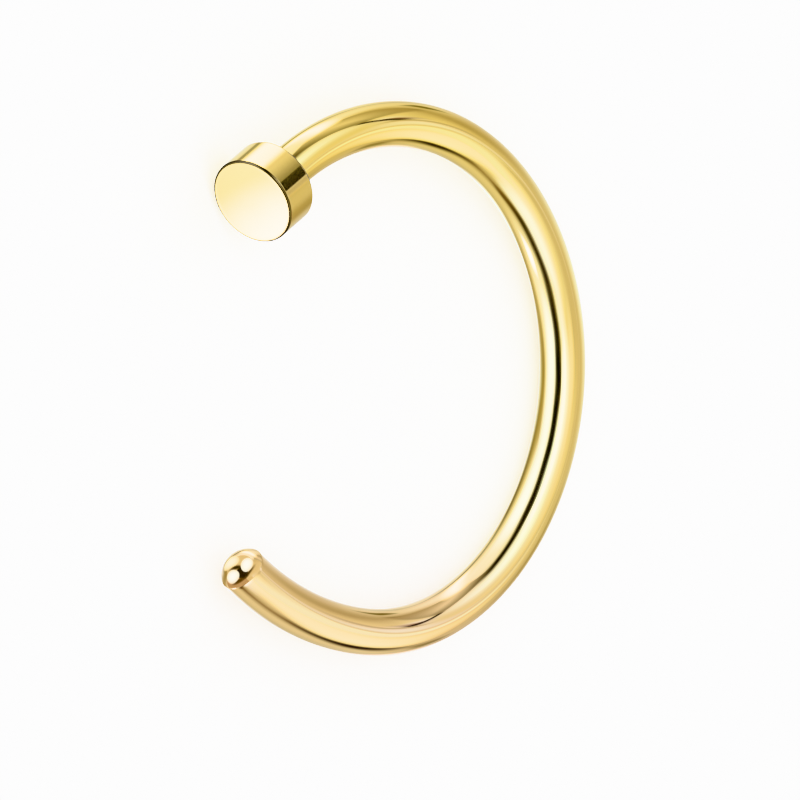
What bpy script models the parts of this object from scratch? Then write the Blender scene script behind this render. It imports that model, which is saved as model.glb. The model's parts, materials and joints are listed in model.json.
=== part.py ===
"""Clip-on lip ring: an open hoop of round gold-coloured wire.

One end of the wire carries a flat disc, the other ends in a low dome. The disc is
soldered on, so the whole ring is one solid. It lies on its side, as it would come to
rest on a table: on the disc's rim and on the far side of the hoop. The mouth between
the disc and the tip faces -Y, the disc is at -X, and the origin is on the table, under
the middle of the ring's box.
"""

from math import asin, cos, pi, radians, sin

import bmesh
import bpy
from mathutils import Matrix, Vector
from mathutils.geometry import intersect_ray_tri

MM = 0.001

# Wire and hoop, in millimetres and degrees
WIRE_DIAMETER = 0.8
HOOP_INNER_DIAMETER = 8.0
ARC_TO_DISC_END = 83.5      # turn of the round middle, from the back of the hoop to the disc's stretch
ARC_TO_TIP_END = 91.0       # the same towards the tip's stretch
DISC_END_LENGTH = 4.1       # the gentler stretch of wire up to the disc's back
DISC_END_BEND_RADIUS = 4.9
TIP_END_LENGTH = 3.4        # the gentler stretch of wire up to the dome's edge
TIP_END_BEND_RADIUS = 6.5
BEND_CHANGE_LENGTH = 1.1    # length over which the bend eases from one radius to the next

# Tip
TIP_DOME_HEIGHT = 0.32      # lower than a half ball, so the dome meets the wire at an edge

# Disc
DISC_DIAMETER = 1.6
DISC_THICKNESS = 0.7
DISC_EDGE_BEVEL = 0.04
DISC_TURN_OUT = 9.7         # turn of the disc's face away from the hoop's middle
DISC_LEAN_UP = 6.5          # lean of the disc's face out of the hoop's plane
SOLDER_FILLET = 0.08

# How finely the round forms are cut into flats
WIRE_SIDES = 36
WIRE_SECTION_SPACING = 0.24
DOME_STEPS = 5
FILLET_STEPS = 3

GOLD_COLOUR = (0.90, 0.66, 0.28, 1.0)
GOLD_ROUGHNESS = 0.12

wire_radius = WIRE_DIAMETER / 2
hoop_radius = HOOP_INNER_DIAMETER / 2 + wire_radius
disc_radius = DISC_DIAMETER / 2
up = Vector((0, 0, 1))


def clear_scene():
    """Remove every object, so that the ring stands alone."""
    for old in list(bpy.data.objects):
        bpy.data.objects.remove(old, do_unlink=True)


def eased(share):
    """Rise smoothly from 0 to 1 while share goes from 0 to 1."""
    share = min(max(share, 0.0), 1.0)
    return share * share * (3 - 2 * share)


def bend(distance, arc_length, end_radius):
    """Curvature of the wire at a distance from the back of the hoop."""
    past_arc = (distance - arc_length) / BEND_CHANGE_LENGTH + 0.5
    return 1 / hoop_radius + (1 / end_radius - 1 / hoop_radius) * eased(past_arc)


def half_centreline(side, arc_degrees, end_length, end_radius):
    """Points and headings from the back of the hoop to one end; side is -1 towards the disc."""
    arc_length = hoop_radius * radians(arc_degrees)
    length = arc_length + end_length
    count = max(8, round(length / WIRE_SECTION_SPACING))
    substeps = 8
    step = length / count / substeps
    point = Vector((0, hoop_radius, 0))
    angle = 0.0
    stations = [(point.copy(), Vector((side, 0, 0)))]
    for index in range(count * substeps):
        middle = (index + 0.5) * step
        turn = bend(middle, arc_length, end_radius) * step
        angle += turn / 2
        point += step * Vector((side * cos(angle), -sin(angle), 0))
        angle += turn / 2
        if (index + 1) % substeps == 0:
            stations.append((point.copy(), Vector((side * cos(angle), -sin(angle), 0))))
    return stations


def turned_axis(heading):
    """The disc's axis: the wire's heading, turned out in the hoop's plane and leant up."""
    outward = Matrix.Rotation(-radians(DISC_TURN_OUT), 3, up) @ heading
    return outward * cos(radians(DISC_LEAN_UP)) + up * sin(radians(DISC_LEAN_UP))


def ring(bm, centre, axis, radius):
    """A circle of vertices about an axis, started at the top so that rings line up."""
    across = up.cross(axis).normalized()
    top = axis.cross(across)
    turns = [2 * pi * side / WIRE_SIDES for side in range(WIRE_SIDES)]
    return [bm.verts.new((centre + radius * (cos(a) * top + sin(a) * across)) * MM) for a in turns]


def skin(bm, rings):
    """Faces between each ring and the next."""
    for near, far in zip(rings, rings[1:]):
        for i in range(WIRE_SIDES):
            j = (i + 1) % WIRE_SIDES
            bm.faces.new((near[i], near[j], far[j], far[i]))


def dome_rings(bm, edge_centre, outward):
    """The tip's dome, from beside its pole down to just above its edge."""
    dome_radius = (wire_radius ** 2 + TIP_DOME_HEIGHT ** 2) / (2 * TIP_DOME_HEIGHT)
    ball_centre = edge_centre + (TIP_DOME_HEIGHT - dome_radius) * outward
    edge_angle = asin(wire_radius / dome_radius)
    if TIP_DOME_HEIGHT > wire_radius:
        edge_angle = pi - edge_angle
    rings = []
    for step in range(1, DOME_STEPS):
        angle = edge_angle * step / DOME_STEPS
        centre = ball_centre + dome_radius * cos(angle) * outward
        rings.append(ring(bm, centre, -outward, dome_radius * sin(angle)))
    pole = bm.verts.new((ball_centre + dome_radius * outward) * MM)
    for i in range(WIRE_SIDES):
        bm.faces.new((pole, rings[0][(i + 1) % WIRE_SIDES], rings[0][i]))
    return rings


def disc_rings(bm, wire_end, axis):
    """The solder fillet, the disc's back, its rim and its front face."""
    rings = []
    for step in range(FILLET_STEPS + 1):
        angle = pi / 2 * step / FILLET_STEPS
        radius = wire_radius + SOLDER_FILLET * (1 - cos(angle))
        rings.append(ring(bm, wire_end - SOLDER_FILLET * (1 - sin(angle)) * axis, axis, radius))
    profile = (
        (0, disc_radius - DISC_EDGE_BEVEL),
        (DISC_EDGE_BEVEL, disc_radius),
        (DISC_THICKNESS - DISC_EDGE_BEVEL, disc_radius),
        (DISC_THICKNESS, disc_radius - DISC_EDGE_BEVEL),
    )
    for along, radius in profile:
        rings.append(ring(bm, wire_end + along * axis, axis, radius))
    bm.faces.new(rings[-1])
    return rings


def build_ring_mesh():
    """The whole ring as one skin: dome, wire, fillet and disc, in the hoop's own plane."""
    bm = bmesh.new()
    to_tip = half_centreline(1, ARC_TO_TIP_END, TIP_END_LENGTH, TIP_END_BEND_RADIUS)
    to_disc = half_centreline(-1, ARC_TO_DISC_END, DISC_END_LENGTH, DISC_END_BEND_RADIUS)
    stations = [(point, -heading) for point, heading in reversed(to_tip)] + to_disc[1:]

    tip_edge, inward = stations[0]
    disc_back, heading = stations.pop()
    disc_axis = turned_axis(heading)
    clear_of_fillet = 2 * SOLDER_FILLET + wire_radius * sin(radians(DISC_TURN_OUT + DISC_LEAN_UP))
    stations = [s for s in stations if (disc_back - s[0]).length > clear_of_fillet]

    rings = dome_rings(bm, tip_edge, -inward)
    rings += [ring(bm, point, heading, wire_radius) for point, heading in stations]
    rings += disc_rings(bm, disc_back, disc_axis)
    skin(bm, rings)
    bmesh.ops.recalc_face_normals(bm, faces=bm.faces)
    return bm


def centre_of_volume(bm):
    """The centre of the solid, from the volumes between its triangles and the origin."""
    total = 0.0
    weighted = Vector((0, 0, 0))
    for loops in bm.calc_loop_triangles():
        a, b, c = (loop.vert.co for loop in loops)
        volume = a.dot(b.cross(c))
        total += volume
        weighted += volume * (a + b + c) / 4
    return weighted / total


def resting_turn(bm):
    """The turn that lays the ring on the flat it rests on by itself.

    That flat is the facet of the ring's convex hull which lies straight under the centre
    of volume, on the ring's lower side.
    """
    centre = centre_of_volume(bm)
    hull = bmesh.new()
    for vert in bm.verts:
        hull.verts.new(vert.co)
    bmesh.ops.convex_hull(hull, input=hull.verts)
    lowest = None
    for face in hull.faces:
        a, b, c = (vert.co for vert in face.verts)
        normal = (b - a).cross(c - a).normalized()
        if normal.dot(a - centre) < 0:
            normal.negate()
        under = intersect_ray_tri(a, b, c, normal, centre, True)
        if under is not None and (lowest is None or normal.z < lowest.z):
            lowest = normal.copy()
    hull.free()
    return lowest.rotation_difference(-up).to_matrix().to_4x4()


def rest_on_table(bm):
    """Lay the ring down and put the origin under the middle of its box."""
    bmesh.ops.transform(bm, matrix=resting_turn(bm), verts=bm.verts)
    places = [vert.co for vert in bm.verts]
    middle_x = (min(p.x for p in places) + max(p.x for p in places)) / 2
    middle_y = (min(p.y for p in places) + max(p.y for p in places)) / 2
    table = min(p.z for p in places)
    bmesh.ops.translate(bm, vec=Vector((-middle_x, -middle_y, -table)), verts=bm.verts)


def gold_material():
    """Polished gold-coloured metal."""
    material = bpy.data.materials.new("polished_gold")
    material.use_nodes = True
    shader = material.node_tree.nodes["Principled BSDF"]
    shader.inputs["Base Color"].default_value = GOLD_COLOUR
    shader.inputs["Metallic"].default_value = 1.0
    shader.inputs["Roughness"].default_value = GOLD_ROUGHNESS
    material.diffuse_color = GOLD_COLOUR
    return material


def lip_ring():
    """The finished ring as one object."""
    bm = build_ring_mesh()
    rest_on_table(bm)
    mesh = bpy.data.meshes.new("lip_ring")
    bm.to_mesh(mesh)
    bm.free()
    mesh.shade_smooth()
    mesh.set_sharp_from_angle(angle=radians(30))
    mesh.materials.append(gold_material())
    piece = bpy.data.objects.new("lip_ring", mesh)
    bpy.context.scene.collection.objects.link(piece)
    return piece


clear_scene()
lip_ring()
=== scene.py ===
"""Looks of the clip-on lip ring: a finely modelled gold hoop with its disc, in a light tent."""

import json
from collections import namedtuple
from math import cos, pi, radians, sin

import bpy
from bpy.props import FloatProperty, FloatVectorProperty, IntProperty, PointerProperty
from mathutils import Matrix, Vector
from mathutils.kdtree import KDTree


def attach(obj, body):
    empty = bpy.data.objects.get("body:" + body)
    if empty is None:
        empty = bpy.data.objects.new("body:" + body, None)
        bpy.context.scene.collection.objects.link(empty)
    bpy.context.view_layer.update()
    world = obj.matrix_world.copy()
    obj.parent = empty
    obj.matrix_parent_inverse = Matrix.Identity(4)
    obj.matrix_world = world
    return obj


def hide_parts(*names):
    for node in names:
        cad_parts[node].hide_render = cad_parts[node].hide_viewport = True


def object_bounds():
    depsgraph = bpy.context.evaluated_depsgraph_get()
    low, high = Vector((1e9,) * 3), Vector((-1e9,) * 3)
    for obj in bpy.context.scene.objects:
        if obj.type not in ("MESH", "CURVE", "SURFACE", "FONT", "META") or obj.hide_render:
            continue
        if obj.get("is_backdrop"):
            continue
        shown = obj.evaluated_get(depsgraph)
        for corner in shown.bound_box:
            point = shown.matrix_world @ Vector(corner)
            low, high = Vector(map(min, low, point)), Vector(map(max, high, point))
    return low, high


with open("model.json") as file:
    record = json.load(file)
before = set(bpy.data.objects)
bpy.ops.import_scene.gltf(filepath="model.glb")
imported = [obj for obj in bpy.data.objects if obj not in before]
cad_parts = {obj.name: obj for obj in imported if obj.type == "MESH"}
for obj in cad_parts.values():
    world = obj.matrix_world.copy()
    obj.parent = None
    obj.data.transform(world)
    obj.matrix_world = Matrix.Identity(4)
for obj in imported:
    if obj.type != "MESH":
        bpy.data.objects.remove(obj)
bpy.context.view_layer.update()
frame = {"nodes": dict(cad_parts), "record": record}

CAD_NODE = "lip_ring"
MM = 0.001
UP = Vector((0, 0, 1))

bl_info = {
    "name": "Clip-on Lip Ring",
    "version": (1, 0, 0),
    "blender": (4, 5, 0),
    "location": "3D View > Sidebar > Lip Ring",
    "description": "Models a polished open lip ring with a soldered disc, and sets it in a light tent",
    "category": "Add Mesh",
}


# Sizes and colours that a user would change

def length(name, description, millimetres):
    """A length property, given in millimetres and kept in metres."""
    return FloatProperty(
        name=name, description=description, default=millimetres * MM, min=0.001 * MM,
        unit="LENGTH", precision=5)


def turn(name, description, value):
    """An angle property, given in degrees and kept in radians."""
    return FloatProperty(name=name, description=description, default=radians(value), unit="ROTATION")


def number(name, description, value):
    """A plain number from 0 to 1."""
    return FloatProperty(name=name, description=description, default=value, min=0.0, max=1.0)


def colour(name, description, value):
    """A colour property."""
    return FloatVectorProperty(
        name=name, description=description, default=value, size=3, subtype="COLOR", min=0.0, max=1.0)


class RingSizes(bpy.types.PropertyGroup):
    """Sizes of the hoop, its tip and its disc."""

    wire_diameter: length("Wire", "Thickness of the round wire", 0.806)
    hoop_inner_diameter: length("Hoop inside", "Inner diameter of the round middle", 8.0)
    arc_to_disc_end: turn("Arc to disc", "Turn of the round middle towards the disc", 83.5)
    arc_to_tip_end: turn("Arc to tip", "Turn of the round middle towards the tip", 91.0)
    disc_end_length: length("Disc end", "Gentler stretch of wire up to the disc", 4.07)
    disc_end_bend_radius: length("Disc end bend", "Bend radius of that stretch", 4.9)
    tip_end_length: length("Tip end", "Gentler stretch of wire up to the dome", 3.445)
    tip_end_bend_radius: length("Tip end bend", "Bend radius of that stretch", 6.5)
    bend_change_length: length("Bend change", "Length over which the bend eases", 1.1)
    tip_growth: number("Tip growth", "Share by which the wire is thicker at its tip", 0.045)
    tip_growth_length: length("Growth length", "Length over which the wire thickens to its tip", 6.0)
    disc_end_taper: number("Disc taper", "Share by which the wire is thinner at its disc", 0.035)
    disc_end_taper_length: length("Taper length", "Length over which the wire thins to its disc", 4.0)
    tip_dome_height: length("Dome height", "Height of the tip's dome", 0.25)
    tip_edge_round: length("Dome edge", "Width of the rounding where the dome meets the wire", 0.004)
    disc_diameter: length("Disc", "Diameter of the disc", 1.577)
    disc_thickness: length("Disc thickness", "Thickness of the disc", 0.73)
    disc_edge_bevel: length("Disc edge", "Width of the disc's broken edges", 0.036)
    disc_turn_out: turn("Disc turn", "Turn of the disc's face out of the hoop's round", 9.7)
    disc_lean_up: turn("Disc lean", "Lean of the disc's face out of the hoop's plane", 6.5)
    disc_crown: length("Disc crown", "Height of the disc face's middle over its edge", 0.02)
    turn_to_disc_length: length("Turn to disc", "Last of the wire, turned towards the disc", 0.27)
    solder_fillet: length("Solder", "Width of the solder fillet behind the disc", 0.06)
    sides: IntProperty(name="Sides", description="Faces round the wire", default=96, min=12, max=256)
    section_spacing: length("Sections", "Spacing of the sections along the wire", 0.055)


class GoldFinish(bpy.types.PropertyGroup):
    """Colour and polish of the gold, and the painted dark of the disc's chamfers."""

    gold: colour("Gold", "Colour of the plating", (1.0, 0.745, 0.245))
    rosy_gold: colour("Rosy gold", "Colour of the plating towards the tip", (1.0, 0.69, 0.31))
    deep_gold: colour("Deep gold", "Colour of the plating towards the disc", (1.0, 0.725, 0.19))
    pale_gold: colour("Pale gold", "Colour where the plating is rubbed on edges", (1.0, 0.78, 0.32))
    joint_gold: colour("Joint gold", "Duller colour at the solder joint", (0.80, 0.55, 0.20))
    # Painted shade: the chamfers' near-black colour paints the dark reflection line that runs round the
    # disc's edges
    chamfer_painted_shade: colour("Chamfer painted shade", "Dark colour of the disc's chamfers", (0.07, 0.045, 0.012))
    wire_roughness: number("Wire polish", "Roughness of the wire and of the disc's rim", 0.03)
    disc_roughness: number("Disc polish", "Roughness of the disc's face", 0.05)


class StudioLook(bpy.types.PropertyGroup):
    """Floor and light tent."""

    floor_colour: colour("Floor", "Colour of the floor", (0.85, 0.85, 0.85))
    tent_brightness: FloatProperty(
        name="Tent", description="Brightness of the light tent in the gold", default=1.0, min=0.0)
    backdrop: FloatProperty(
        name="Backdrop", description="Brightness of the plain light on the floor", default=4.5, min=0.0)


# Centreline of the wire

Station = namedtuple("Station", "point heading distance")

# Part of the round middle, at each of its ends, in which the wire may still be changing its thickness
TAPERED_MIDDLE = 4.0 * MM

# Where the loop that holds a bevel runs, in widths of that bevel from the edge
HELD_BY = 1.3

# Turns and misfits smaller than these count as none
LEAST_TURN = 1e-7
LEAST_MISFIT = 1e-6

# How finely the ball is cut that gives the tip's dome
BALL_RINGS = 61


def eased(share):
    """Rise smoothly from 0 to 1 while share goes from 0 to 1."""
    share = min(max(share, 0.0), 1.0)
    return share * share * (3 - 2 * share)


def wire_bends(sizes):
    """Short arcs from the tip's edge to the disc: (length, curvature, sections) each."""
    hoop_radius = (sizes.hoop_inner_diameter + sizes.wire_diameter) / 2
    ease = sizes.bend_change_length
    pieces = 20

    def easing(start, end):
        step = ease / pieces
        return [(step, start + (end - start) * eased((i + 0.5) / pieces), 1) for i in range(pieces)]

    def stretch(arc_length, curvature):
        return [(arc_length, curvature, max(2, round(arc_length / sizes.section_spacing)))]

    middle, tip, disc = 1 / hoop_radius, 1 / sizes.tip_end_bend_radius, 1 / sizes.disc_end_bend_radius
    middle_length = hoop_radius * (sizes.arc_to_tip_end + sizes.arc_to_disc_end) - ease
    return (
        stretch(sizes.tip_end_length - ease / 2, tip)
        + easing(tip, middle)
        + stretch(TAPERED_MIDDLE, middle)
        + stretch(middle_length - 2 * TAPERED_MIDDLE, middle)
        + stretch(TAPERED_MIDDLE, middle)
        + easing(middle, disc)
        + stretch(sizes.disc_end_length - ease / 2 - sizes.turn_to_disc_length, disc)
    )


def follow(point, heading, arc_length, curvature):
    """Point and heading at the end of an arc in the hoop's plane, turning left."""
    angle = arc_length * curvature
    left = Vector((-heading.y, heading.x, 0))
    centre = point + left / curvature
    spun = Matrix.Rotation(angle, 3, "Z")
    return centre + spun @ (point - centre), spun @ heading


def tip_start(sizes):
    """Where the wire starts at the tip's edge, with the back of the hoop at +Y."""
    hoop_radius = (sizes.hoop_inner_diameter + sizes.wire_diameter) / 2
    point, heading = Vector((0, 0, 0)), Vector((1, 0, 0))
    to_back = hoop_radius * sizes.arc_to_tip_end + sizes.tip_end_length
    gone = 0.0
    for arc_length, curvature, _sections in wire_bends(sizes):
        part = min(arc_length, to_back - gone)
        if part > 0:
            point, heading = follow(point, heading, part, curvature)
        gone += arc_length
    back, to_disc = Vector((0, hoop_radius, 0)), Vector((-1, 0, 0))
    turned = Matrix.Rotation(pi - heading.xy.angle_signed(Vector((1, 0))), 3, "Z")
    start_heading = turned @ Vector((1, 0, 0))
    if (turned @ heading - to_disc).length > LEAST_MISFIT:
        raise RuntimeError("the wire's heading at the back of the hoop is wrong")
    return back - turned @ point, start_heading


def disc_place(sizes, point, heading):
    """The middle of the disc's back and the disc's axis, from where the wire starts to turn to it."""
    back, heading = follow(point, heading, sizes.turn_to_disc_length, 1 / sizes.disc_end_bend_radius)
    outward = Matrix.Rotation(-sizes.disc_turn_out, 3, "Z") @ heading
    return back, (outward * cos(sizes.disc_lean_up) + UP * sin(sizes.disc_lean_up)).normalized()


# Modelling helpers

def take_new(name):
    """Name the object that a primitive has just made, and put its place into its mesh."""
    piece = bpy.context.object
    piece.name = name
    piece.data.name = name
    bpy.ops.object.transform_apply(location=True, rotation=True, scale=True)
    return piece


def select_verts(piece, wanted):
    """In edit mode, select the vertices that pass a test, and what they span."""
    bpy.ops.object.mode_set(mode="OBJECT")
    mesh = piece.data
    keep = [wanted(v.co) for v in mesh.vertices]
    mesh.vertices.foreach_set("select", keep)
    mesh.edges.foreach_set("select", [keep[e.vertices[0]] and keep[e.vertices[1]] for e in mesh.edges])
    mesh.polygons.foreach_set("select", [all(keep[v] for v in p.vertices) for p in mesh.polygons])
    bpy.ops.object.mode_set(mode="EDIT")


def on_circle(centre, axis, radius):
    """A test for points on a circle about an axis."""
    slack = 0.0005 * MM

    def wanted(point):
        offset = point - centre
        along = offset.dot(axis)
        return abs(along) < slack and abs((offset - along * axis).length - radius) < slack
    return wanted


class RingModeller:
    """Models the ring from the tip to the disc, in the hoop's own plane."""

    def __init__(self, sizes):
        self.sizes = sizes
        self.wire_length = sum(arc[0] for arc in wire_bends(sizes))
        self.tip_radius = self.radius_at(0.0)
        self.wire_radius = self.radius_at(self.wire_length)
        self.point, self.heading = tip_start(sizes)
        self.stations = [Station(self.point.copy(), self.heading.copy(), 0.0)]

    def radius_at(self, distance):
        """The wire's radius at a distance from its tip."""
        sizes = self.sizes
        to_tip = 1 - eased(distance / sizes.tip_growth_length)
        to_disc = eased(1 - (self.wire_length - distance) / sizes.disc_end_taper_length)
        return sizes.wire_diameter / 2 * (1 + sizes.tip_growth * to_tip - sizes.disc_end_taper * to_disc)

    def model(self):
        """The whole ring as one closed skin."""
        self.dome()
        for arc_length, curvature, sections in wire_bends(self.sizes):
            self.spin_on(arc_length, curvature, sections)
        self.turn_to_disc()
        self.solder()
        self.disc()
        self.break_edges()
        bpy.ops.mesh.select_all(action="SELECT")
        bpy.ops.mesh.normals_make_consistent(inside=False)
        bpy.ops.object.mode_set(mode="OBJECT")
        bpy.ops.object.shade_smooth()
        return self.piece

    def dome(self):
        """A ball cut down to the tip's low dome, its open edge the wire's first section."""
        height = self.sizes.tip_dome_height
        ball_radius = (self.tip_radius ** 2 + height ** 2) / (2 * height)
        outward = -self.heading
        bpy.ops.object.select_all(action="DESELECT")
        bpy.ops.mesh.primitive_uv_sphere_add(
            segments=self.sizes.sides, ring_count=BALL_RINGS, radius=ball_radius,
            location=self.point + (height - ball_radius) * outward,
            rotation=outward.to_track_quat("Z", "Y").to_euler())
        self.piece = take_new("gold_ring")
        bpy.ops.object.mode_set(mode="EDIT")
        bpy.ops.mesh.select_mode(type="EDGE")
        bpy.ops.mesh.select_all(action="SELECT")
        bpy.ops.mesh.bisect(
            plane_co=self.point, plane_no=self.heading, clear_outer=True, threshold=1e-8)

    def spin_on(self, arc_length, curvature, sections):
        """Spin the selected section on along an arc, section by section where the wire tapers."""
        centre = self.point + UP.cross(self.heading) / curvature
        first = self.stations[-1]
        radius, end_radius = self.radius_at(first.distance), self.radius_at(first.distance + arc_length)
        spins = 1 if radius == end_radius else sections
        for spin in range(spins):
            bpy.ops.mesh.spin(
                steps=sections // spins, angle=-arc_length * curvature / spins, center=centre, axis=UP,
                use_auto_merge=False)
            gone = arc_length * (spin + 1) / spins
            new_radius = self.radius_at(first.distance + gone)
            if new_radius != radius:
                share = new_radius / radius
                middle = follow(first.point, first.heading, gone, curvature)[0]
                bpy.ops.transform.resize(value=(share, share, share), center_override=middle)
                radius = new_radius
        for section in range(1, sections + 1):
            share = section / sections
            point, heading = follow(first.point, first.heading, arc_length * share, curvature)
            self.stations.append(Station(point, heading, first.distance + arc_length * share))
        self.point, self.heading = point, heading

    def step_to(self, point, heading):
        """Draw the selected section on to a new place, square to a new heading."""
        axis = self.heading.cross(heading)
        angle = self.heading.angle(heading)
        if angle > LEAST_TURN:
            bpy.ops.mesh.spin(
                steps=1, angle=-angle, center=self.point, axis=axis.normalized(), use_auto_merge=False)
        else:
            bpy.ops.mesh.extrude_edges_move()
        bpy.ops.transform.translate(value=point - self.point)
        distance = self.stations[-1].distance + (point - self.point).length
        self.point, self.heading = point.copy(), heading.copy()
        self.stations.append(Station(point.copy(), heading.copy(), distance))

    def turn_to_disc(self):
        """Turn the last of the wire towards the disc's own axis, in small steps."""
        sizes = self.sizes
        start, start_heading = self.point.copy(), self.heading.copy()
        self.disc_back, self.disc_axis = disc_place(sizes, start, start_heading)
        end = self.disc_back - sizes.solder_fillet * self.disc_axis
        third = (end - start).length / 3
        leaving, arriving = start + start_heading * third, end - self.disc_axis * third
        steps = 10
        for step in range(1, steps + 1):
            t = step / steps
            s = 1 - t
            point = s ** 3 * start + 3 * s * s * t * leaving + 3 * s * t * t * arriving + t ** 3 * end
            heading = (
                s * s * (leaving - start) + 2 * s * t * (arriving - leaving) + t * t * (end - arriving))
            self.step_to(point, heading.normalized())

    def widen(self, along, radius, new_radius):
        """Draw the selected section on along the disc's axis and scale it to a new radius."""
        bpy.ops.mesh.extrude_edges_move()
        if along:
            self.point = self.point + along * self.disc_axis
            bpy.ops.transform.translate(value=along * self.disc_axis)
        if new_radius != radius:
            share = new_radius / radius
            bpy.ops.transform.resize(value=(share, share, share), center_override=self.point)

    def solder(self):
        """The fillet of solder between the wire and the disc's back."""
        fillet = self.sizes.solder_fillet
        steps = 8
        radius, along = self.wire_radius, 0.0
        for step in range(1, steps + 1):
            angle = pi / 2 * step / steps
            new_radius = self.wire_radius + fillet * (1 - cos(angle))
            new_along = fillet * sin(angle)
            self.widen(new_along - along, radius, new_radius)
            radius, along = new_radius, new_along
        self.fillet_radius = radius

    def disc(self):
        """The disc's back, its rim and its slightly crowned face."""
        sizes = self.sizes
        disc_radius = sizes.disc_diameter / 2
        held = HELD_BY * sizes.disc_edge_bevel
        radius = self.fillet_radius
        for new_radius in (disc_radius - held, disc_radius):
            self.widen(0, radius, new_radius)
            radius = new_radius
        middle_steps = 10
        middle = (sizes.disc_thickness - 2 * held) / middle_steps
        for along in (held, *[middle] * middle_steps, held):
            self.widen(along, radius, radius)
        self.face_centre = self.point.copy()
        bpy.ops.mesh.edge_face_add()
        bpy.ops.mesh.select_mode(type="FACE")
        bpy.ops.mesh.inset(thickness=held)
        face_radius = disc_radius - held
        rings = 12
        for ring in range(1, rings):
            bpy.ops.mesh.inset(thickness=face_radius / rings)
            share = ring / rings
            rise = 2 * sizes.disc_crown * (1 - share) / rings
            bpy.ops.transform.translate(value=rise * self.disc_axis)
        bpy.ops.mesh.poke()
        bpy.ops.mesh.select_mode(type="EDGE")

    def break_edges(self):
        """Round the disc's two edges and the edge between the wire and its dome."""
        sizes = self.sizes
        disc_radius = sizes.disc_diameter / 2
        for centre in (self.disc_back, self.face_centre):
            select_verts(self.piece, on_circle(centre, self.disc_axis, disc_radius))
            bpy.ops.mesh.bevel(offset=sizes.disc_edge_bevel, segments=6, profile=0.5, affect="EDGES")
        tip = self.stations[0]
        select_verts(self.piece, on_circle(tip.point, tip.heading, self.tip_radius))
        bpy.ops.mesh.bevel(offset=sizes.tip_edge_round, segments=2, affect="EDGES")


# The ring's pose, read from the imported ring

def cad_hoop_normal():
    """The hoop's upward normal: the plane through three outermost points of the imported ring."""
    points = [v.co for v in frame["nodes"][CAD_NODE].data.vertices]
    left = min(points, key=lambda p: p.x)
    right = max(points, key=lambda p: p.x)
    back = max(points, key=lambda p: p.y)
    normal = (right - left).cross(back - left).normalized()
    return normal if normal.z > 0 else -normal


def lying_pose(face_centre):
    """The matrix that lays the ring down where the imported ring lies."""
    turned = UP.rotation_difference(cad_hoop_normal()).to_matrix().to_4x4()
    mount = next(m for m in frame["record"]["mounts"] if m["name"] == "disc_face")
    return Matrix.Translation(Vector(mount["pos_m"]) - turned @ face_centre) @ turned


def straighten(piece, stations):
    """Keep, for every point, where it would be if the wire were straight."""
    tree = KDTree(len(stations))
    for index, station in enumerate(stations):
        tree.insert(station.point, index)
    tree.balance()
    straight = []
    for vert in piece.data.vertices:
        station = stations[tree.find(vert.co)[1]]
        offset = vert.co - station.point
        side = UP.cross(station.heading).normalized()
        top = station.heading.cross(side)
        straight += [offset.dot(side), offset.dot(top), station.distance + offset.dot(station.heading)]
    layer = piece.data.attributes.new("straight_wire", "FLOAT_VECTOR", "POINT")
    layer.data.foreach_set("vector", straight)


# Node helpers

class Nodes:
    """Adds and links nodes in one node tree."""

    def __init__(self, tree):
        self.tree = tree

    def add(self, kind, inputs=None, **settings):
        """A node with its settings and inputs; an input is a value or another node's socket."""
        node = self.tree.nodes.new(kind)
        for name, value in settings.items():
            setattr(node, name, value)
        for name, value in (inputs or {}).items():
            socket = node.inputs[name]
            if isinstance(value, bpy.types.NodeSocket):
                self.tree.links.new(value, socket)
            else:
                socket.default_value = value
        return node

    def math(self, operation, *values, clamp=False):
        """The result of a Math node."""
        node = self.add("ShaderNodeMath", dict(enumerate(values)), operation=operation, use_clamp=clamp)
        return node.outputs[0]

    def vector(self, operation, *values):
        """The result of a Vector Math node."""
        return self.add("ShaderNodeVectorMath", dict(enumerate(values)), operation=operation).outputs[0]

    def span(self, value, low, high, to_low=0.0, to_high=1.0, smooth=True):
        """A value mapped from one range to another, held at the ends."""
        node = self.add(
            "ShaderNodeMapRange",
            {"Value": value, "From Min": low, "From Max": high, "To Min": to_low, "To Max": to_high},
            interpolation_type="SMOOTHSTEP" if smooth else "LINEAR")
        return node.outputs["Result"]

    def mix_colour(self, factor, one, other):
        """One colour mixed with another."""
        node = self.add("ShaderNodeMix", data_type="RGBA")
        for index, value in ((0, factor), (6, one), (7, other)):
            if isinstance(value, bpy.types.NodeSocket):
                self.tree.links.new(value, node.inputs[index])
            else:
                node.inputs[index].default_value = value
        return node.outputs[2]


def make_group(name, inputs, outputs, build):
    """A shader node group with named sockets, built once."""
    if name in bpy.data.node_groups:
        return bpy.data.node_groups[name]
    tree = bpy.data.node_groups.new(name, "ShaderNodeTree")
    for socket_name, kind, default in inputs:
        socket = tree.interface.new_socket(socket_name, in_out="INPUT", socket_type=kind)
        if default is not None:
            socket.default_value = default
    for socket_name, kind in outputs:
        tree.interface.new_socket(socket_name, in_out="OUTPUT", socket_type=kind)
    nodes = Nodes(tree)
    given = nodes.add("NodeGroupInput").outputs
    results = build(nodes, given)
    result_node = nodes.add("NodeGroupOutput")
    for socket_name, socket in results.items():
        tree.links.new(socket, result_node.inputs[socket_name])
    return tree


def rgba(value):
    """A colour with full alpha."""
    return (*value, 1.0)


# Finish of the gold

# Fineness of the lines that drawing leaves along the wire, and turning round the disc
DRAWN_LINES = 18000.0
TURNED_LINES = 26000.0


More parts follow.
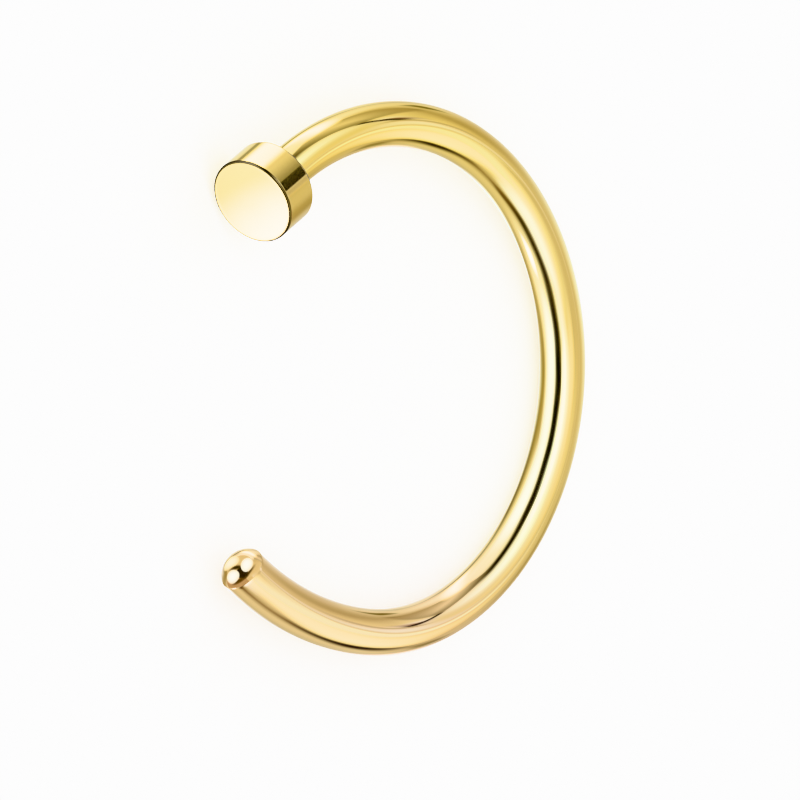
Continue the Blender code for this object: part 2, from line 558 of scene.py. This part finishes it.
def drawn_lines_group():
    """Faint lengthwise lines that the drawing plate leaves on wire, read from the straightened wire."""
    def build(nodes, given):
        stretched = nodes.vector("MULTIPLY", given["Straight"], (1.0, 1.0, 0.012))
        fine = nodes.add(
            "ShaderNodeTexNoise", {"Vector": stretched, "Scale": given["Scale"], "Detail": 3.0})
        broad = nodes.add(
            "ShaderNodeTexNoise",
            {"Vector": stretched, "Scale": nodes.math("MULTIPLY", given["Scale"], 0.22), "Detail": 1.0})
        both = nodes.math(
            "ADD", nodes.math("MULTIPLY", fine.outputs["Fac"], 0.45),
            nodes.math("MULTIPLY", broad.outputs["Fac"], 0.55))
        return {"Lines": nodes.span(both, 0.30, 0.70, smooth=False)}
    return make_group(
        "drawn lines",
        [("Straight", "NodeSocketVector", None), ("Scale", "NodeSocketFloat", DRAWN_LINES)],
        [("Lines", "NodeSocketFloat")], build)


def polish_group():
    """Uneven polish: soft clouds and scattered hairline scratches."""
    def build(nodes, given):
        clouds = nodes.add("ShaderNodeTexNoise", {"Vector": given["Place"], "Scale": 900.0, "Detail": 3.0})
        bent = nodes.vector("ADD", given["Place"], nodes.vector("SCALE", clouds.outputs["Color"]))
        cells = nodes.add(
            "ShaderNodeTexVoronoi", {"Vector": bent, "Scale": 2600.0}, feature="DISTANCE_TO_EDGE")
        hair = nodes.span(cells.outputs["Distance"], 0.0, 0.012, 1.0, 0.0)
        rare = nodes.span(clouds.outputs["Fac"], 0.50, 0.62)
        return {
            "Clouds": nodes.span(clouds.outputs["Fac"], 0.35, 0.65),
            "Scratches": nodes.math("MULTIPLY", hair, rare),
        }
    return make_group(
        "uneven polish", [("Place", "NodeSocketVector", None)],
        [("Clouds", "NodeSocketFloat"), ("Scratches", "NodeSocketFloat")], build)


def plating_group():
    """Colour of the plating: it shifts along the wire, drifts in tone, and is paler where rubbed."""
    def build(nodes, given):
        along = nodes.add("ShaderNodeSeparateXYZ", {0: given["Straight"]}).outputs["Z"]
        rosy = nodes.span(along, 5.0 * MM, 8.5 * MM, 1.0, 0.0)
        deep = nodes.span(along, 13.5 * MM, 16.5 * MM)
        shifted = nodes.mix_colour(rosy, given["Gold"], given["Rosy"])
        shifted = nodes.mix_colour(deep, shifted, given["Deep"])
        drift = nodes.add("ShaderNodeTexNoise", {"Vector": given["Place"], "Scale": 260.0, "Detail": 2.0})
        tone = nodes.span(drift.outputs["Fac"], 0.35, 0.65)
        drifted = nodes.mix_colour(nodes.math("MULTIPLY", tone, given["Drift"]), shifted, given["Pale"])
        worn = nodes.math("MULTIPLY", given["Rubbed"], 0.6)
        return {"Colour": nodes.mix_colour(worn, drifted, given["Pale"])}
    return make_group(
        "gold plating",
        [("Place", "NodeSocketVector", None), ("Straight", "NodeSocketVector", None),
         ("Gold", "NodeSocketColor", None), ("Rosy", "NodeSocketColor", None),
         ("Deep", "NodeSocketColor", None), ("Pale", "NodeSocketColor", None),
         ("Drift", "NodeSocketFloat", 0.25), ("Rubbed", "NodeSocketFloat", 0.0)],
        [("Colour", "NodeSocketColor")], build)


def gold_material(
        name, tones, roughness, lines, scratches, pattern="straight_wire", line_scale=DRAWN_LINES):
    """Polished gold with the marks of its making; tones are its gold, rosy, deep and pale colours."""
    material = bpy.data.materials.new(name)
    material.use_nodes = True
    material.diffuse_color = rgba(tones[0])
    nodes = Nodes(material.node_tree)
    shader = material.node_tree.nodes["Principled BSDF"]
    shader.inputs["Metallic"].default_value = 1.0
    place = nodes.add("ShaderNodeTexCoord").outputs["Object"]
    straight = nodes.add("ShaderNodeAttribute", attribute_name="straight_wire").outputs["Vector"]
    lined = nodes.add("ShaderNodeAttribute", attribute_name=pattern).outputs["Vector"]
    rubbed = nodes.add("ShaderNodeAttribute", attribute_name="rubbed").outputs["Fac"]

    drawn = nodes.add("ShaderNodeGroup", node_tree=drawn_lines_group())
    nodes.tree.links.new(lined, drawn.inputs["Straight"])
    drawn.inputs["Scale"].default_value = line_scale
    polish = nodes.add("ShaderNodeGroup", node_tree=polish_group())
    nodes.tree.links.new(place, polish.inputs["Place"])
    plating = nodes.add("ShaderNodeGroup", node_tree=plating_group())
    nodes.tree.links.new(place, plating.inputs["Place"])
    nodes.tree.links.new(straight, plating.inputs["Straight"])
    nodes.tree.links.new(rubbed, plating.inputs["Rubbed"])
    for name, tone in zip(("Gold", "Rosy", "Deep", "Pale"), tones):
        plating.inputs[name].default_value = rgba(tone)
    nodes.tree.links.new(plating.outputs["Colour"], shader.inputs["Base Color"])

    uneven = nodes.span(polish.outputs["Clouds"], 0.0, 1.0, 0.8 * roughness, 1.2 * roughness)
    marked = nodes.math("MULTIPLY_ADD", drawn.outputs["Lines"], 0.3 * roughness * lines, uneven)
    rough = nodes.math("MULTIPLY_ADD", polish.outputs["Scratches"], scratches, marked, clamp=True)
    nodes.tree.links.new(rough, shader.inputs["Roughness"])

    height = nodes.math(
        "SUBTRACT", nodes.math("MULTIPLY", drawn.outputs["Lines"], lines),
        nodes.math("MULTIPLY", polish.outputs["Scratches"], scratches))
    bump = nodes.add("ShaderNodeBump", {"Height": height, "Strength": 0.12, "Distance": 0.002 * MM})
    nodes.tree.links.new(bump.outputs["Normal"], shader.inputs["Normal"])
    return material


def finish_ring(piece, modeller, finish):
    """Give each part of the ring its own finish, and the disc's chamfers a near-black painted dark
    reflection, by its place along the wire.
    """
    sizes = modeller.sizes
    golds = (finish.gold, finish.rosy_gold, finish.deep_gold, finish.pale_gold)
    joint_golds = (finish.joint_gold,) * 4
    chamfer_shade_tones = (finish.chamfer_painted_shade,) * 4
    turned = {"pattern": "turned_disc", "line_scale": TURNED_LINES}
    materials = [
        gold_material("polished_wire", golds, finish.wire_roughness, lines=1.0, scratches=0.10),
        gold_material("polished_tip", golds, finish.wire_roughness, lines=0.15, scratches=0.10),
        gold_material("solder_joint", joint_golds, 0.22, lines=0.3, scratches=0.2),
        gold_material("turned_rim", golds, finish.wire_roughness, lines=0.6, scratches=0.10, **turned),
        gold_material("lapped_face", golds, finish.disc_roughness, lines=0.15, scratches=0.15),
        # The chamfers' near-black colour is painted shade: it paints the dark reflection line round the
        # disc's edges
        gold_material("painted_dark_chamfer", chamfer_shade_tones, 0.15, lines=0.6, scratches=0.10, **turned),
    ]
    wire, tip, joint, rim, face, chamfer = range(6)
    for material in materials:
        piece.data.materials.append(material)
    back, axis = modeller.disc_back, modeller.disc_axis
    joint_start = -1.2 * sizes.solder_fillet
    face_start = sizes.disc_thickness - 0.3 * sizes.disc_edge_bevel
    chamfer_start = sizes.disc_diameter / 2 - HELD_BY * sizes.disc_edge_bevel
    least_chamfer_slope = 0.1
    slack = 0.0001 * MM
    tip_point, tip_heading = modeller.stations[0].point, modeller.stations[0].heading
    for polygon in piece.data.polygons:
        centre = polygon.center
        along = (centre - back).dot(axis)
        near_disc = (centre - back).length < sizes.disc_diameter and along > joint_start
        across = (centre - back - along * axis).length
        squareness = abs(polygon.normal.dot(axis))
        if (centre - tip_point).dot(tip_heading) < 0 and (centre - tip_point).length < sizes.wire_diameter:
            polygon.material_index = tip
        # Chamfer faces get the near-black material, a painted dark reflection line
        elif near_disc and across > chamfer_start and squareness > least_chamfer_slope:
            polygon.material_index = chamfer
        elif near_disc and along > face_start:
            polygon.material_index = face
        elif near_disc and along > -slack and across > modeller.wire_radius:
            polygon.material_index = rim
        elif near_disc:
            polygon.material_index = joint
        else:
            polygon.material_index = wire


def mark_turned_disc(piece, modeller):
    """Keep each point's place round the disc's axis, so that lines on its rim run round it."""
    axis, back = modeller.disc_axis, modeller.disc_back
    sizes = modeller.sizes
    turned, rubbed = [], []
    for vert in piece.data.vertices:
        offset = vert.co - back
        along = offset.dot(axis)
        across = (offset - along * axis).length
        turned += [along, across, 0.0]
        to_edge = min(abs(along), abs(along - sizes.disc_thickness)) + abs(across - sizes.disc_diameter / 2)
        rubbed.append(max(0.0, 1 - to_edge / (2 * sizes.disc_edge_bevel)))
    layer = piece.data.attributes.new("turned_disc", "FLOAT_VECTOR", "POINT")
    layer.data.foreach_set("vector", turned)
    layer = piece.data.attributes.new("rubbed", "FLOAT", "POINT")
    layer.data.foreach_set("value", rubbed)


class LIPRING_OT_ring(bpy.types.Operator):
    """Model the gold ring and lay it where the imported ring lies"""

    bl_idname = "lipring.ring"
    bl_label = "Gold Ring"

    def execute(self, context):
        modeller = RingModeller(context.scene.lip_ring_sizes)
        piece = modeller.model()
        straighten(piece, modeller.stations)
        mark_turned_disc(piece, modeller)
        finish_ring(piece, modeller, context.scene.lip_ring_finish)
        piece.data.transform(lying_pose(modeller.face_centre))
        piece.visible_glossy = False
        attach(piece, "root")
        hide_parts(CAD_NODE)
        return {"FINISHED"}


# Light tent: bright walls and dark gaps, which only the ring's reflections show

# Angles in degrees: azimuth 0 is towards the back of the hoop, 90 towards its tip's side
Panel = namedtuple("Panel", "light azimuth elevation roll half_width half_height soft")

TENT_LIGHT = (2.02, 2.02, 1.93)

# Values fitted by least squares to the photograph's tones on the gold; a panel lies over those before it
PANELS = (
    Panel((0.70, 0.68, 0.67), 13.4, -10.7, -42.7, 91.8, 60.5, 16.1),
    Panel((0.90, 0.92, 0.93), 35.8, -86.8, -33.3, 166.6, 50.7, 7.0),
    Panel((2.81, 3.12, 3.98), -153.7, -10.4, -16.3, 90.4, 41.1, 22.6),
    Panel((5.32, 6.93, 14.9), -164.0, -17.6, -0.7, 48.9, 20.8, 14.7),
    Panel((39.2, 43.8, 71.9), 115.8, -28.1, 36.1, 4.3, 7.2, 5.5),
    Panel((3.63, 3.65, 2.83), 91.6, 48.8, -3.6, 56.6, 15.7, 11.0),
    Panel((3.45, 4.25, 7.68), 103.0, 37.4, -10.8, 20.6, 17.0, 10.5),
    Panel((4.77, 6.47, 11.7), -127.0, 48.2, -27.5, 42.0, 5.1, 22.1),
    Panel((3.13, 3.81, 6.71), 168.6, 59.4, -38.9, 33.9, 9.2, 12.6),
    Panel((9.49, 11.4, 20.2), -154.7, 55.5, -1.8, 30.0, 9.5, 5.7),
    Panel((0.0949, 0.092, 0.0623), -68.7, -75.5, -51.8, 42.6, 17.0, 17.0),
    Panel((0.46, 0.42, 0.29), 164.6, -77.6, -40.5, 64.0, 20.5, 33.0),
    Panel((0.0135, 0.012, 0.0153), -163.5, 24.5, -9.8, 21.1, 16.3, 12.0),
    Panel((0.00557, 0.00463, 0.00776), -138.8, 24.9, -9.4, 20.5, 14.9, 12.7),
    Panel((0.0112, 0.00812, 0.0144), -105.3, 28.7, -2.1, 29.0, 15.5, 14.1),
    Panel((0.0511, 0.0489, 0.0366), -66.4, 16.5, -15.2, 20.5, 17.0, 2.2),
    Panel((0.00409, 0.00335, 0.00565), 171.0, 23.0, -31.6, 21.5, 18.4, 15.2),
    Panel((0.00613, 0.005, 0.00749), 149.1, 17.7, -23.5, 22.2, 17.8, 16.8),
    Panel((0.032, 0.0219, 0.0238), 121.8, 10.9, -26.6, 26.8, 17.5, 18.4),
    Panel((0.0305, 0.0268, 0.0226), 95.9, 0.8, -24.0, 14.2, 6.3, 5.4),
    Panel((0.23, 0.17, 0.12), 75.8, 1.0, 15.2, 22.9, 6.6, 15.7),
    Panel((0.0368, 0.0282, 0.0484), 50.2, 5.2, -38.2, 12.7, 12.7, 7.7),
    Panel((0.35, 0.29, 0.14), 11.4, 2.5, -20.1, 3.0, 11.5, 9.3),
    Panel((0.35, 0.34, 0.28), 30.2, -7.4, 17.0, 3.7, 7.4, 2.5),
    Panel((0.45, 0.41, 0.35), -45.1, 9.1, -32.3, 30.2, 9.5, 16.0),
    Panel((0.24, 0.23, 0.13), -41.5, -10.2, 42.6, 4.7, 4.8, 2.2),
    Panel((1.58, 1.92, 2.64), -6.8, -35.5, 0.4, 3.0, 52.2, 20.9),
    Panel((1.82, 1.80, 2.03), 22.0, -34.4, 41.7, 3.6, 9.1, 2.6),
    Panel((1.09, 1.16, 1.17), -28.2, -50.5, 1.1, 17.4, 15.6, 5.3),
    Panel((2.04, 2.54, 3.78), 27.1, -54.4, 1.9, 15.2, 4.4, 8.3),
    Panel((22.2, 22.7, 19.1), -76.1, -15.8, -5.9, 3.0, 20.2, 7.2),
    Panel((1.46, 1.48, 1.68), -73.7, 12.2, -42.4, 28.6, 3.7, 22.6),
    Panel((1.57, 1.79, 2.20), 31.2, 46.1, -8.1, 21.1, 4.0, 2.2),
    Panel((3.70, 3.89, 3.55), 47.6, 20.7, 7.0, 10.6, 8.7, 10.0),
    Panel((1.21, 1.36, 2.14), -24.3, 40.3, -15.2, 15.7, 3.0, 3.3),
    Panel((0.41, 0.34, 0.48), -32.7, 37.5, 3.3, 4.3, 3.0, 3.3),
    Panel((0.63, 0.61, 0.72), -20.5, 38.6, -39.4, 3.0, 6.2, 2.2),
    Panel((0.00914, 0.00683, 0.00664), -38.1, 38.5, -8.8, 9.6, 1.3, 1.0),
)


def panel_group():
    """How much of a direction falls on a soft-edged panel."""
    def build(nodes, given):
        turned = nodes.add(
            "ShaderNodeVectorRotate",
            {"Vector": given["Direction"], "Rotation": given["Rotation"]},
            rotation_type="EULER_XYZ", invert=True)
        axes = nodes.add("ShaderNodeSeparateXYZ", {0: turned.outputs[0]}).outputs
        wide = nodes.math("DEGREES", nodes.math("ABSOLUTE", nodes.math("ARCTAN2", axes[0], axes[1])))
        high = nodes.math("DEGREES", nodes.math("ABSOLUTE", nodes.math("ARCSINE", axes[2])))

        def inside(value, half):
            low = nodes.math("SUBTRACT", half, given["Soft"])
            high_end = nodes.math("ADD", half, given["Soft"])
            return nodes.span(value, low, high_end, 1.0, 0.0)
        across, upward = inside(wide, given["Half Width"]), inside(high, given["Half Height"])
        return {"Mask": nodes.math("MULTIPLY", across, upward)}
    return make_group(
        "tent panel",
        [("Direction", "NodeSocketVector", None), ("Rotation", "NodeSocketVector", None),
         ("Half Width", "NodeSocketFloat", 30.0), ("Half Height", "NodeSocketFloat", 20.0),
         ("Soft", "NodeSocketFloat", 5.0)],
        [("Mask", "NodeSocketFloat")], build)


def panel_rotation(panel):
    """Turn that takes +Y to the panel's middle, rolled about it."""
    aside = Matrix.Rotation(-radians(panel.azimuth), 3, "Z")
    raised = Matrix.Rotation(radians(panel.elevation), 3, "X")
    rolled = Matrix.Rotation(radians(panel.roll), 3, "Y")
    return (aside @ raised @ rolled).to_euler("XYZ")


def light_tent(look):
    """The world: a tent of bright walls and dark gaps for reflections, and plain light for all else."""
    world = bpy.data.worlds.new("light_tent")
    bpy.context.scene.world = world
    world.use_nodes = True
    nodes = Nodes(world.node_tree)
    nodes.tree.nodes.clear()
    direction = nodes.add("ShaderNodeTexCoord").outputs["Generated"]
    lean = UP.rotation_difference(cad_hoop_normal()).to_euler()
    level = nodes.add(
        "ShaderNodeVectorRotate", {"Vector": direction, "Rotation": lean},
        rotation_type="EULER_XYZ", invert=True).outputs[0]
    tent_light = rgba(TENT_LIGHT)
    for panel in PANELS:
        group = nodes.add("ShaderNodeGroup", node_tree=panel_group())
        nodes.tree.links.new(level, group.inputs["Direction"])
        group.inputs["Rotation"].default_value = panel_rotation(panel)
        group.inputs["Half Width"].default_value = panel.half_width
        group.inputs["Half Height"].default_value = panel.half_height
        group.inputs["Soft"].default_value = panel.soft
        tent_light = nodes.mix_colour(group.outputs["Mask"], tent_light, rgba(panel.light))
    in_reflections = nodes.add("ShaderNodeLightPath").outputs["Is Glossy Ray"]
    tent = nodes.add("ShaderNodeBackground", {"Color": tent_light, "Strength": look.tent_brightness})
    plain = nodes.add("ShaderNodeBackground", {"Color": (1, 1, 1, 1), "Strength": look.backdrop})
    shown = nodes.add("ShaderNodeMixShader", {0: in_reflections, 1: plain.outputs[0], 2: tent.outputs[0]})
    nodes.add("ShaderNodeOutputWorld", {"Surface": shown.outputs[0]})


# Small cards before the tip, which only the tip's dome shows, as two lights with dark between them

# Each is placed by its direction and distance from the dome's middle, in degrees and millimetres
Card = namedtuple("Card", "name light azimuth elevation distance offset half_width half_height roll soft")

WHITE_CARD = (10.0, 13.0, 22.0)
CARD_REACH = 3.3
CARD_SIDES = 48
TIP_DOME_MIDDLE = Vector((3.43, -3.52, 0.13))

# Values fitted by least squares to the photograph's tones on the dome
TIP_CARDS = (
    Card("tip_upper", WHITE_CARD, -128.3, 24.3, 1.24, (-0.04, -0.07), 0.99, 0.66, -160, 1.0),
    Card("tip_lower", WHITE_CARD, 167.9, -18.8, 1.24, (0.03, -0.19), 0.92, 0.64, 117, 1.0),
    Card(
        "tip_flag_middle", (0.024, 0.015, 0.005),
        -173.0, 24.1, 1.55, (-0.09, -0.26), 1.32, 1.06, 124, 0.43),
    Card("tip_flag_left", (0.030, 0.020, 0.006), -154.3, -16.0, 1.58, (-0.05, 0.02), 1.75, 0.45, 105, 0.91),
    Card("tip_flag_right", (0.054, 0.033, 0.011), -150.4, 53.2, 1.50, (0.23, -0.12), 1.88, 0.29, 169, 1.0),
    Card("tip_flag_below", (0.10, 0.065, 0.022), 145.4, 4.4, 1.52, (-0.19, 0.04), 1.55, 0.34, 114, 0.8),
    Card("tip_side_upper", (0.84, 0.81, 0.75), -150.4, 53.2, 1.61, (-0.28, 0.08), 9.09, 3.32, 156, 0.91),
    Card("tip_side_lower", (0.57, 0.46, 0.44), 145.4, 4.4, 1.64, (0.17, -0.60), 9.70, 1.14, 104, 0.69),
    Card("tip_glow", (6.7, 7.7, 8.1), -126.1, -45.7, 1.74, (-0.07, -0.27), 1.42, 0.85, 78, 0.88),
    Card("tip_wall", (0.84, 0.82, 0.79), -149.0, -4.6, 1.86, (0.0, 0.0), 3.41, 3.41, 0, 0.1),
)


def card_material(card):
    """Plain light that fades towards the card's edge and is seen from no further than the reach."""
    material = bpy.data.materials.new(card.name)
    material.use_nodes = True
    nodes = Nodes(material.node_tree)
    nodes.tree.nodes.clear()
    place = nodes.add("ShaderNodeTexCoord").outputs["UV"]
    centred = nodes.vector("SUBTRACT", place, (0.5, 0.5, 0.0))
    outward = nodes.add("ShaderNodeVectorMath", {0: centred}, operation="LENGTH").outputs["Value"]
    inside = nodes.span(outward, 0.5 * (1 - card.soft), 0.5, 1.0, 0.0)
    travelled = nodes.add("ShaderNodeLightPath").outputs["Ray Length"]
    near_enough = nodes.math("LESS_THAN", travelled, CARD_REACH * MM)
    shown = nodes.math("MULTIPLY", inside, near_enough)
    glow = nodes.add("ShaderNodeEmission", {"Color": rgba(card.light), "Strength": 1.0})
    clear = nodes.add("ShaderNodeBsdfTransparent")
    faded = nodes.add("ShaderNodeMixShader", {0: shown, 1: clear.outputs[0], 2: glow.outputs[0]})
    nodes.add("ShaderNodeOutputMaterial", {"Surface": faded.outputs[0]})
    return material


def add_card(card, pose):
    """A round card that the camera and the floor don't see."""
    azimuth, elevation = radians(card.azimuth), radians(card.elevation)
    outward = Vector((sin(azimuth) * cos(elevation), cos(azimuth) * cos(elevation), sin(elevation)))
    across = UP.cross(outward).normalized()
    above = outward.cross(across)
    aside, raised = card.offset
    middle = TIP_DOME_MIDDLE + card.distance * outward + aside * across + raised * above
    facing = Matrix((across, above, outward)).transposed().to_4x4()
    placed = Matrix.Translation(middle * MM) @ facing @ Matrix.Rotation(radians(card.roll), 4, "Z")
    bpy.ops.object.select_all(action="DESELECT")
    bpy.ops.mesh.primitive_circle_add(vertices=CARD_SIDES, radius=MM, fill_type="NGON")
    bpy.ops.transform.resize(value=(card.half_width, card.half_height, 1.0))
    piece = take_new(card.name)
    piece.data.transform(pose @ placed)
    piece.data.materials.append(card_material(card))
    piece.visible_camera = False
    piece.visible_diffuse = False
    piece.visible_transmission = False
    piece.visible_shadow = False
    piece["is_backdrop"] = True


def add_floor(look):
    """A large pale floor under the ring."""
    bpy.ops.object.select_all(action="DESELECT")
    bpy.ops.mesh.primitive_plane_add(size=4.0, location=(0, 0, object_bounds()[0][2]))
    floor = take_new("floor")
    material = bpy.data.materials.new("pale_floor")
    material.use_nodes = True
    nodes = Nodes(material.node_tree)
    shader = material.node_tree.nodes["Principled BSDF"]
    place = nodes.add("ShaderNodeTexCoord").outputs["Object"]
    grain = nodes.add("ShaderNodeTexNoise", {"Vector": place, "Scale": 400.0, "Detail": 2.0})
    base = Vector(look.floor_colour)
    grained = nodes.mix_colour(grain.outputs["Fac"], rgba(base), rgba(base * 0.985))
    nodes.tree.links.new(grained, shader.inputs["Base Color"])
    shader.inputs["Roughness"].default_value = 0.9
    shader.inputs["Specular IOR Level"].default_value = 0.1
    floor.data.materials.append(material)
    floor.visible_glossy = False
    floor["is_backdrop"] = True


# The photograph's view, in the hoop's own frame
VIEW_DISTANCE = 264.0 * MM
VIEW_TILT = radians(46.9663)
VIEW_RIGHT = Vector((-0.07886, 0.68031, 0.72867))
VIEW_ASIDE, VIEW_RAISED = 0.000639, 0.001413
FOCAL_LENGTH_PIXELS = 15253.4
PICTURE_PIXELS = 800
SENSOR_MM = 36.0


def add_camera():
    """A long lens and its place in the hoop's own frame, on the photograph's side of the ring."""
    forward = Vector((0.0, sin(VIEW_TILT), -cos(VIEW_TILT)))
    above = VIEW_RIGHT.cross(forward)
    placed = Matrix((VIEW_RIGHT, above, -forward)).transposed().to_4x4()
    placed.translation = -VIEW_DISTANCE * (forward - VIEW_ASIDE * VIEW_RIGHT + VIEW_RAISED * above)
    camera_data = bpy.data.cameras.new("camera")
    camera = bpy.data.objects.new("camera", camera_data)
    bpy.context.scene.collection.objects.link(camera)
    camera_data.sensor_width = SENSOR_MM
    camera_data.lens = SENSOR_MM * FOCAL_LENGTH_PIXELS / PICTURE_PIXELS
    camera_data.clip_start = 0.01
    camera_data.clip_end = 10.0
    return camera, placed


class LIPRING_OT_stage(bpy.types.Operator):
    """Set the floor, the light tent and the camera round the ring"""

    bl_idname = "lipring.stage"
    bl_label = "Stage"

    def execute(self, context):
        look = context.scene.lip_ring_look
        add_floor(look)
        light_tent(look)
        pose = lying_pose(face_centre_of(context.scene.lip_ring_sizes))
        for card in TIP_CARDS:
            add_card(card, pose)
        camera, placed = add_camera()
        camera.matrix_world = pose @ placed
        context.scene.camera = camera
        context.scene.view_settings.view_transform = "Khronos PBR Neutral"
        return {"FINISHED"}


def face_centre_of(sizes):
    """The middle of the disc's face before the ring is laid down."""
    point, heading = tip_start(sizes)
    for arc_length, curvature, _sections in wire_bends(sizes):
        point, heading = follow(point, heading, arc_length, curvature)
    back, axis = disc_place(sizes, point, heading)
    return back + sizes.disc_thickness * axis


class LIPRING_PT_panel(bpy.types.Panel):
    """Buttons and sizes in the 3D view's sidebar"""

    bl_idname = "LIPRING_PT_panel"
    bl_label = "Lip Ring"
    bl_space_type = "VIEW_3D"
    bl_region_type = "UI"
    bl_category = "Lip Ring"

    def draw(self, context):
        layout = self.layout
        for settings in SETTINGS:
            group = getattr(context.scene, settings)
            for name in group.__annotations__:
                layout.prop(group, name)
        for operator in OPERATORS:
            layout.operator(operator.bl_idname)


OPERATORS = (LIPRING_OT_ring, LIPRING_OT_stage)
SETTINGS = {"lip_ring_sizes": RingSizes, "lip_ring_finish": GoldFinish, "lip_ring_look": StudioLook}


def register():
    """Register the settings, the operators and the panel."""
    for name, settings in SETTINGS.items():
        bpy.utils.register_class(settings)
        setattr(bpy.types.Scene, name, PointerProperty(type=settings))
    for cls in (*OPERATORS, LIPRING_PT_panel):
        bpy.utils.register_class(cls)


def unregister():
    """Undo register."""
    for cls in (LIPRING_PT_panel, *reversed(OPERATORS)):
        bpy.utils.unregister_class(cls)
    for name, settings in SETTINGS.items():
        delattr(bpy.types.Scene, name)
        bpy.utils.unregister_class(settings)


def main():
    """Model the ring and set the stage."""
    register()
    bpy.ops.lipring.ring()
    bpy.ops.lipring.stage()


if __name__ == "__main__":
    main()
